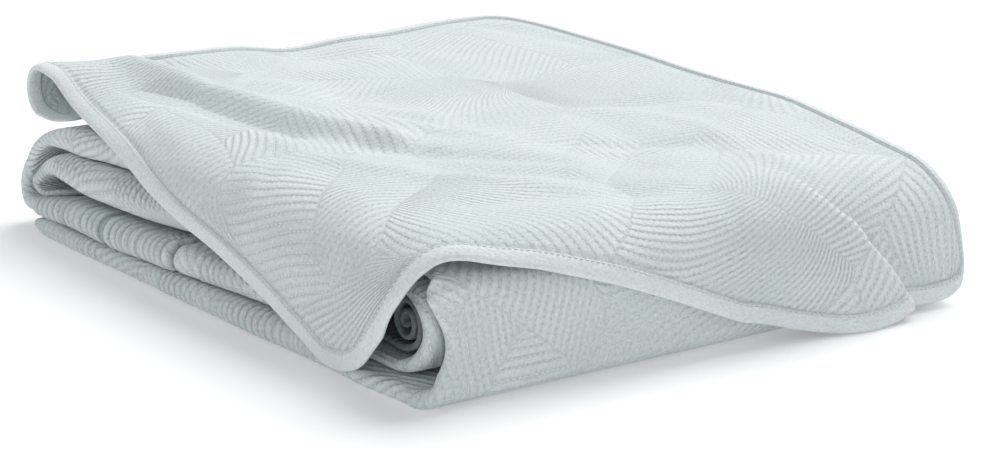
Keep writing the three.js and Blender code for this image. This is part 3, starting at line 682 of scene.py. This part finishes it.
# %% Build the rolled strip
rings, ring_places, painted_shades = strip_rings(ways)
index = np.arange(painted_shades.size).reshape(painted_shades.shape)
wrapped = np.concatenate([index, index[:, :1]], axis=1)
strip_faces = grid_faces(wrapped, flip=True)
strip_faces += [index[0].tolist(), index[-1][::-1].tolist()]
strip = make_mesh(
    "rolled_strip", rings.reshape(-1, 3), strip_faces, ring_places.reshape(-1, 3) / 1000
)
# the painted shade is kept on the strip, and the cloth's material darkens its colour by it
shaded = strip.data.attributes.new("painted_shade", "FLOAT", "POINT")
shaded.data.foreach_set("value", painted_shades.astype(np.float32).ravel())

# %% [markdown]
# ## The binding
#
# A strip of plain tape is folded over the cloth's edge and sewn through. A curve with a bevel
# could make it, but would twist at the corners. So its section is a short table, and each row
# of that table is laid on the cloth as the cloth itself was, which keeps the two together.

# %% Build the binding
BINDING_STEP = 2.6
BINDING_SECTION = [  # distance in from the outline, height above the cloth
    (13.4, -0.8), (13.1, 0.4), (12.2, 1.0), (8.5, 1.2), (4, 1.15), (1.2, 0.5), (0, -1.0),
    (0.6, -2.6), (2.4, -3.8), (6, -4.3), (9, -4.4), (12.5, -4.2), (13.4, -3.2),
]


def binding_rings(shares, section):
    rings = []
    for inset, height in section:
        flat = in_from(shares, np.full(len(shares), inset))
        rings.append(on_cloth(flat, height * thinness(flat)))
    return np.stack(rings, axis=1)


binding_count = int(outline.length / BINDING_STEP)
binding_shares = np.arange(binding_count) / binding_count
rings = binding_rings(binding_shares, BINDING_SECTION)
index = np.arange(rings.shape[0] * rings.shape[1]).reshape(rings.shape[:2])
index = np.concatenate([index, index[:1]])
index = np.concatenate([index, index[:, :1]], axis=1)
binding_places = np.zeros((*rings.shape[:2], 3))
for k, (inset, _) in enumerate(BINDING_SECTION):
    binding_places[:, k, :2] = in_from(binding_shares, np.full(binding_count, inset))
    binding_places[:, k, 2] = inset
binding = make_mesh(
    "binding_tape", rings.reshape(-1, 3), grid_faces(index), binding_places.reshape(-1, 3) / 1000
)

# %% [markdown]
# ## Floor and light
#
# A wide pale floor under one broad soft light from above, as in a photo studio. A sun lamp
# with a very wide angle lights the floor evenly and still leaves soft shadows. The floor
# glows a little itself, as a light table does, which keeps its shadows pale and lights the
# folds from below.

# %% Floor and light
FLOOR_RADIUS = 12  # metres, so that the floor ends far outside the view
FLOOR_SHADE, FLOOR_GLOW, SKY_STRENGTH = 0.75, 0.23, 0.48


def plain_material(name, colour, roughness):
    material = bpy.data.materials.new(name)
    material.use_nodes = True
    shader = material.node_tree.nodes["Principled BSDF"]
    shader.inputs["Base Color"].default_value = (*colour, 1)
    shader.inputs["Roughness"].default_value = roughness
    return material


bpy.ops.mesh.primitive_circle_add(vertices=64, radius=FLOOR_RADIUS, fill_type="NGON")
floor = bpy.context.object
floor.name = "floor"
floor_white = plain_material("floor_white", [FLOOR_SHADE] * 3, 0.7)
glow = floor_white.node_tree.nodes["Principled BSDF"].inputs
glow["Emission Color"].default_value = (1, 1, 1, 1)
glow["Emission Strength"].default_value = FLOOR_GLOW
floor.data.materials.append(floor_white)
world = bpy.data.worlds.new("studio")
world.use_nodes = True
world.node_tree.nodes["Background"].inputs["Color"].default_value = (0.96, 0.98, 1, 1)
world.node_tree.nodes["Background"].inputs["Strength"].default_value = SKY_STRENGTH
bpy.context.scene.world = world


def soft_sun(name, energy, angle, rotation):
    light = bpy.data.lights.new(name, "SUN")
    light.energy, light.angle = energy, angle
    lamp = bpy.data.objects.new(name, light)
    lamp.rotation_euler = [math.radians(a) for a in rotation]
    bpy.context.scene.collection.objects.link(lamp)


soft_sun("soft_overhead", 2.56, 0.8, (-14, 35, 0))
soft_sun("soft_fill", 0.5, 1.3, (74, 0, -54))
bpy.context.scene.view_settings.view_transform = "Standard"
lamps = [thing.name for thing in bpy.context.scene.objects if thing.type == "LIGHT"]
print("lamps:", lamps)

# %% [markdown]
# ## Shader maths as Python
#
# The quilting is a pattern with a rule, so it is worked out by nodes from each point's place on
# the flat cloth. Writing node links by hand hides that rule. This small class wraps a socket, so
# that an expression on values adds its Math nodes, in a material or in Geometry Nodes alike.

# %% A socket that understands arithmetic
class Value:
    """A node's socket that arithmetic can be written with."""

    def __init__(self, tree, socket):
        self.tree, self.socket = tree, socket

    def math(self, operation, *others):
        made = self.tree.nodes.new("ShaderNodeMath")
        made.operation = operation
        for slot, item in zip(made.inputs, (self, *others)):
            feed(self.tree, slot, item)
        return Value(self.tree, made.outputs[0])

    def other_first(self, operation, other):
        made = self.tree.nodes.new("ShaderNodeMath")
        made.operation = operation
        feed(self.tree, made.inputs[0], other)
        feed(self.tree, made.inputs[1], self)
        return Value(self.tree, made.outputs[0])

    def __add__(self, other):
        return self.math("ADD", other)

    def __sub__(self, other):
        return self.math("SUBTRACT", other)

    def __mul__(self, other):
        return self.math("MULTIPLY", other)

    def __truediv__(self, other):
        return self.math("DIVIDE", other)

    def __rsub__(self, other):
        return self.other_first("SUBTRACT", other)

    def __rtruediv__(self, other):
        return self.other_first("DIVIDE", other)

    def __pow__(self, other):
        return self.math("POWER", other)

    def __rpow__(self, other):
        return self.other_first("POWER", other)

    def __abs__(self):
        return self.math("ABSOLUTE")

    __radd__, __rmul__ = __add__, __mul__

    def smooth(self, low, high, start=0.0, end=1.0):
        """start below low, end above high, and a soft step between."""
        return node(
            self.tree, "ShaderNodeMapRange", {"interpolation_type": "SMOOTHSTEP"},
            {0: self, 1: low, 2: high, 3: start, 4: end},
        )


# %% One helper for every other node
def feed(tree, slot, item):
    """Link a value to a slot, or set a plain number, colour or vector on it."""
    if isinstance(item, Value):
        tree.links.new(item.socket, slot)
    else:
        slot.default_value = item


def node(tree, kind, settings=None, inputs=None, output=0):
    """A node of this kind: its settings first, then its sockets, and one of its outputs."""
    made = tree.nodes.new(kind)
    for key, value in (settings or {}).items():
        setattr(made, key, value)
    for key, item in (inputs or {}).items():
        feed(tree, made.inputs[key], item)
    return Value(tree, made.outputs[output])


def vector(tree, operation, *items, output=0):
    return node(
        tree, "ShaderNodeVectorMath", {"operation": operation}, dict(enumerate(items)), output
    )


def parts(value):
    made = value.tree.nodes.new("ShaderNodeSeparateXYZ")
    value.tree.links.new(value.socket, made.inputs[0])
    return [Value(value.tree, made.outputs[k]) for k in range(3)]


def noise(tree, place, scale, detail=2.0):
    return node(
        tree, "ShaderNodeTexNoise", None, {"Vector": place, "Scale": scale, "Detail": detail}
    )


trial = bpy.data.materials.new("trial")
trial.use_nodes = True
nodes_before = len(trial.node_tree.nodes)
1 - noise(trial.node_tree, (0, 0, 0), 5.0) * 2
print("1 - noise * 2 makes", len(trial.node_tree.nodes) - nodes_before, "nodes")
bpy.data.materials.remove(trial)

# %% [markdown]
# ## The quilted leaves
#
# Each leaf has a midrib, and curved channels that fan out from it. Modelled, so many channels
# would need far too many faces, and painted, they would blur close up. Nodes draw them at any
# size. A Voronoi pattern with wavy borders gives every leaf its own patch of cloth and its own
# direction. Inside a leaf, the channels are the level lines of one smooth function. The cloth
# is puffy between the sewn lines and drawn in along them, and each is a row of short stitches.

# %% The quilting as one rule
LEAF_SCALE = 6.9  # leaves to a metre, near enough
CHANNEL = 0.0056
STITCH = 0.0046
PAD_HEIGHT, THREAD_HEIGHT = 0.0007, 0.0003
FAN_BASE, FAN_SPREAD, FAN_CURL, STRAIGHT_KIND = 0.125, 0.13, 1.3, 0.62
FEATHER_RISE, FEATHER_ROUND, FEATHER_LEAN, FEATHER_CURL = 0.85, 1.6, 0.62, 2.6
FAN_FROM = 0.34  # leaves of a kind past this are fans, the others are feathers


def leaves(tree, place):
    """Where a place lies in its leaf: along it, across it, way to its edge, and its kind."""
    wave = node(
        tree, "ShaderNodeTexNoise", {"noise_dimensions": "2D"},
        {"Vector": place, "Scale": 5.0, "Detail": 1.0}, "Color",
    )
    bent = vector(tree, "SUBTRACT", wave, (0.5, 0.5, 0.5))
    bent = vector(tree, "MULTIPLY_ADD", bent, (0.05, 0.05, 0.0), place)
    cells = {"Vector": bent, "Scale": LEAF_SCALE, "Randomness": 0.85}
    near = node(
        tree, "ShaderNodeTexVoronoi", {"voronoi_dimensions": "2D", "feature": "F1"}, cells,
        "Position",
    )
    hue = Value(tree, near.socket.node.outputs["Color"])
    edge = node(
        tree, "ShaderNodeTexVoronoi",
        {"voronoi_dimensions": "2D", "feature": "DISTANCE_TO_EDGE"}, cells,
    )
    x, y, _ = parts(vector(tree, "SUBTRACT", bent, near))
    heading, kind, _ = parts(hue)
    angle = heading * (2 * math.pi)
    cos, sin = angle.math("COSINE"), angle.math("SINE")
    return x * cos + y * sin, y * cos - x * sin, edge * (1 / LEAF_SCALE), kind


def quilting(tree, place):
    """Height of the quilting in metres, the share of thread, and how flat it is pressed."""
    along, across, edge, kind = leaves(tree, place)
    off = abs(across)
    feather = along * FEATHER_RISE + off * off * FEATHER_ROUND
    feather = feather - off * (along * FEATHER_CURL + FEATHER_LEAN)
    from_base = along + FAN_BASE
    reach = (from_base * from_base + across * across) ** 0.5
    fan = across.math("ARCTAN2", from_base) * FAN_SPREAD
    fan = fan + reach * (kind - STRAIGHT_KIND) * FAN_CURL
    is_fan = kind.math("GREATER_THAN", FAN_FROM)
    level = feather + (fan - feather) * is_fan
    turn = (level * (1 / CHANNEL)).math("FRACT")
    from_line = abs(turn - 0.5)  # a half on a sewn line, nothing between two
    midrib = (off + is_fan).smooth(0.0002, 0.0022, 0.35)
    open_cloth = midrib * edge.smooth(0.0002, 0.0020, 0.55)
    pad = 1 - (from_line * 2) ** 2.2
    dash = abs(((off + along) * (0.75 / STITCH)).math("FRACT") - 0.5)
    thread = from_line.smooth(0.43, 0.47) * dash.smooth(0.14, 0.22) * open_cloth
    from_left, from_front, _ = parts(place)
    pressed = from_left.smooth(0.02, 0.16) * from_front.smooth(-0.03, 0.09)
    fullness = noise(tree, place, 9.0).smooth(0.38, 0.62, 0.6, 1.15) * (1.4 - pressed * 0.5)
    height = pad * open_cloth * fullness * PAD_HEIGHT + thread * THREAD_HEIGHT
    return height, thread, pressed


print("channels", CHANNEL * 1000, "mm apart, stitches", STITCH * 1000, "mm apart")

# %% [markdown]
# ## Leaves raised and stitches laid by Geometry Nodes
#
# Bump only bends the light. The swell of each leaf is broad enough to be real, so a small
# Geometry Nodes tree lifts the cloth by the same leaf rule. A second tree lays a stitch at every
# few millimetres of the binding's seam. Both are turned into plain meshes at once.

# %% Geometry Nodes helpers
def geometry_tree(name, sizes):
    """A tree with named inputs, and their values inside it."""
    tree = bpy.data.node_groups.new(name, "GeometryNodeTree")
    tree.interface.new_socket("Geometry", in_out="INPUT", socket_type="NodeSocketGeometry")
    for size, value in sizes.items():
        made = tree.interface.new_socket(size, in_out="INPUT", socket_type="NodeSocketFloat")
        made.default_value = value
    tree.interface.new_socket("Geometry", in_out="OUTPUT", socket_type="NodeSocketGeometry")
    start = tree.nodes.new("NodeGroupInput")
    return tree, [Value(tree, socket) for socket in start.outputs[: len(sizes) + 1]]


def end_tree(tree, shape, material):
    shape = node(tree, "GeometryNodeRealizeInstances", None, {"Geometry": shape})
    shape = node(tree, "GeometryNodeSetMaterial", None, {"Geometry": shape, "Material": material})
    feed(tree, tree.nodes.new("NodeGroupOutput").inputs[0], shape)


def run_tree(piece, tree, sizes):
    """Run the tree on the piece with these sizes, and keep the result as its plain mesh."""
    modifier = piece.modifiers.new(tree.name, "NODES")
    modifier.node_group = tree
    for item in tree.interface.items_tree:
        if item.in_out == "INPUT" and item.name in sizes:
            modifier[item.identifier] = sizes[item.name]
    evaluated = piece.evaluated_get(bpy.context.evaluated_depsgraph_get())
    result = bpy.data.meshes.new_from_object(evaluated)
    piece.modifiers.remove(modifier)
    piece.data = result
    triangles = sum(len(p.vertices) - 2 for p in result.polygons)
    print(piece.name, "has", triangles, "triangles after its Geometry Nodes")


# %% A tree that raises the leaves
def leaf_tree(material):
    tree, (shape, swell, border) = geometry_tree("leaf_swell", {"Swell": 0.002, "Border": 0.01})
    place = node(
        tree, "GeometryNodeInputNamedAttribute", {"data_type": "FLOAT_VECTOR"}, {"Name": "cloth"}
    )
    share = node(
        tree, "GeometryNodeInputNamedAttribute", {"data_type": "FLOAT"}, {"Name": "swell"}
    )
    edge = leaves(tree, place)[2]
    rise = ((edge / border).math("MINIMUM", 1.0).smooth(0, 1) - 0.5) * swell * share
    normal = node(tree, "GeometryNodeInputNormal")
    scale = vector(tree, "SCALE", normal)
    feed(tree, scale.socket.node.inputs["Scale"], rise)
    shape = node(tree, "GeometryNodeSetPosition", None, {"Geometry": shape, "Offset": scale})
    end_tree(tree, shape, material)
    return tree


# %% A tree that lays stitches along a line
def stitch_tree(material):
    sizes = {"Pitch": 0.004, "Length": 0.0026, "Thickness": 0.0007}
    tree, (shape, pitch, long, thick) = geometry_tree("seam_stitches", sizes)
    line = node(tree, "GeometryNodeMeshToCurve", None, {"Mesh": shape})
    line = node(
        tree, "GeometryNodeResampleCurve", {"mode": "LENGTH"}, {"Curve": line, "Length": pitch}
    )
    ball = node(
        tree, "GeometryNodeMeshUVSphere", None, {"Segments": 6, "Rings": 4, "Radius": 0.5}
    )
    tangent = node(tree, "GeometryNodeInputTangent")
    turn = node(tree, "FunctionNodeAlignRotationToVector", {"axis": "Z"}, {"Vector": tangent})
    size = node(tree, "ShaderNodeCombineXYZ", None, {"X": thick, "Y": thick, "Z": long})
    placed_balls = node(
        tree, "GeometryNodeInstanceOnPoints", None,
        {"Points": line, "Instance": ball, "Rotation": turn, "Scale": size},
    )
    end_tree(tree, placed_balls, material)
    return tree


# %% [markdown]
# ## Cloth, tape and thread
#
# The cloth is matt cotton with a fine slub. Painted shade makes it a little darker where it is
# drawn in along a sewn line, and darkest in rib valleys and deep inside the roll. A picture of
# cloth could be laid on it, but would stretch and repeat. Noise on the cloth's own flat place
# follows every fold instead. The tape is the same cloth without quilting, with one groove where
# its seam runs, darkened by painted shade.

# %% The cloth's material
CLOTH_LIGHT, CLOTH_DARK, THREAD = (0.77, 0.825, 0.825), (0.55, 0.62, 0.615), (0.87, 0.90, 0.90)
TAPE_LIGHT, TAPE_DARK = (0.81, 0.86, 0.86), (0.62, 0.68, 0.68)
DEEP_SHADE = (0.10, 0.14, 0.14)
SLUB_SCALE, WEAVE_SCALE, BROAD_SCALE = 430.0, 2600.0, 14.0
SLUB_HEIGHT, WEAVE_HEIGHT = 0.0008, 0.00012


def colour_mix(tree, share, first, second):
    return node(tree, "ShaderNodeMix", {"data_type": "RGBA"}, {0: share, 6: first, 7: second}, 2)


def cloth_material(name, colour, dark, pattern):
    material = bpy.data.materials.new(name)
    material.use_nodes = True
    tree = material.node_tree
    shader = tree.nodes["Principled BSDF"]
    place = node(tree, "ShaderNodeAttribute", {"attribute_name": "cloth"}, None, "Vector")
    slub = noise(tree, place, SLUB_SCALE, 3.0)
    painted_shade = node(tree, "ShaderNodeAttribute", {"attribute_name": "painted_shade"}, None, "Fac")
    broad = noise(tree, place, BROAD_SCALE)
    weave = noise(tree, place, WEAVE_SCALE, 1.0)
    height, shade, thread = pattern(tree, place)
    share = shade + (slub - 0.5) * 1.9 + (broad - 0.5) * 0.3
    cloth_colour = colour_mix(tree, share, (*dark, 1), (*colour, 1))
    cloth_colour = colour_mix(tree, thread, cloth_colour, (*THREAD, 1))
    # painted shade: the colour goes towards a near-black in rib valleys and deep inside the roll
    cloth_colour = colour_mix(tree, painted_shade * 0.9, cloth_colour, (*DEEP_SHADE, 1))
    feed(tree, shader.inputs["Base Color"], cloth_colour)
    shader.inputs["Roughness"].default_value = 0.88
    shader.inputs["Sheen Weight"].default_value = 0.12
    shader.inputs["Sheen Roughness"].default_value = 0.5
    shader.inputs["Specular IOR Level"].default_value = 0.25
    total = height + slub * SLUB_HEIGHT + weave * WEAVE_HEIGHT
    bump = node(tree, "ShaderNodeBump", None, {"Height": total, "Distance": 1.0, "Strength": 1.0})
    feed(tree, shader.inputs["Normal"], bump)
    return material


# %% Patterns of the cloth and the tape
SEAM_GROOVE = 0.0122  # metres in from the binding's outer edge


def quilted_pattern(tree, place):
    height, thread, pressed = quilting(tree, place)
    # the colour share is painted shade: darker where the quilting is low, along its sewn lines,
    # and lighter on the pressed top
    return height, height * 600.0 + pressed * 0.2 + 0.05, thread * 0.9


def tape_pattern(tree, place):
    _, _, inset = parts(place)
    seam = abs(inset - SEAM_GROOVE)
    # the colour share is painted shade, darker along the seam's groove
    return seam.smooth(0.0002, 0.0011) * 0.0004, seam.smooth(0.0002, 0.0012) * 0.5 + 0.1, 0.0


quilted = cloth_material("quilted_cotton", CLOTH_LIGHT, CLOTH_DARK, quilted_pattern)
tape = cloth_material("binding_cotton", TAPE_LIGHT, TAPE_DARK, tape_pattern)
for finish in (quilted, tape):
    print(finish.name, "has", len(finish.node_tree.nodes), "nodes")


# %% The thread's material
TWIST_SCALE = 2400.0


def thread_material():
    material = plain_material("sewing_thread", THREAD, 0.6)
    tree, shader = material.node_tree, material.node_tree.nodes["Principled BSDF"]
    place = node(tree, "ShaderNodeTexCoord", None, None, "Object")
    twist = noise(tree, place, TWIST_SCALE)
    colour = colour_mix(tree, twist, (0.74, 0.79, 0.79, 1), (*THREAD, 1))
    feed(tree, shader.inputs["Base Color"], colour)
    height = node(tree, "ShaderNodeBump", None, {"Height": twist * 0.0002, "Distance": 1.0})
    feed(tree, shader.inputs["Normal"], height)
    return material


sewing = thread_material()
print(sewing.name, "has", len(sewing.node_tree.nodes), "nodes")


# %% Raise the leaves and sew the seam
run_tree(laid_over, leaf_tree(quilted), {"Swell": 0.0026, "Border": 0.03})
SEAM_INSET, SEAM_LIFT = 12.0, 1.15
seam_flat = in_from(binding_shares, np.full(binding_count, SEAM_INSET))
seam_points = placed(on_cloth(seam_flat, SEAM_LIFT * thinness(seam_flat)))
seam_line = bpy.data.meshes.new("seam_stitches")
following = np.arange(binding_count)
seam_line.from_pydata(
    seam_points.tolist(), np.stack([following, np.roll(following, -1)], 1).tolist(), []
)
stitches = bpy.data.objects.new("seam_stitches", seam_line)
bpy.context.scene.collection.objects.link(stitches)
stitch_sizes = {"Pitch": 0.0042, "Length": 0.0028, "Thickness": 0.0009}
run_tree(stitches, stitch_tree(sewing), stitch_sizes)

# %% [markdown]
# ## Tie the pieces to the solid model
#
# Each piece rides on the one body of the model and takes the place of a solid.

# %% Finish
strip.data.materials.append(quilted)
binding.data.materials.append(tape)
for piece in (laid_over, strip, binding, stitches):
    name = "quilted_cloth" if piece in (laid_over, strip) else "edge_binding"
    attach(piece, "root")
    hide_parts(name)
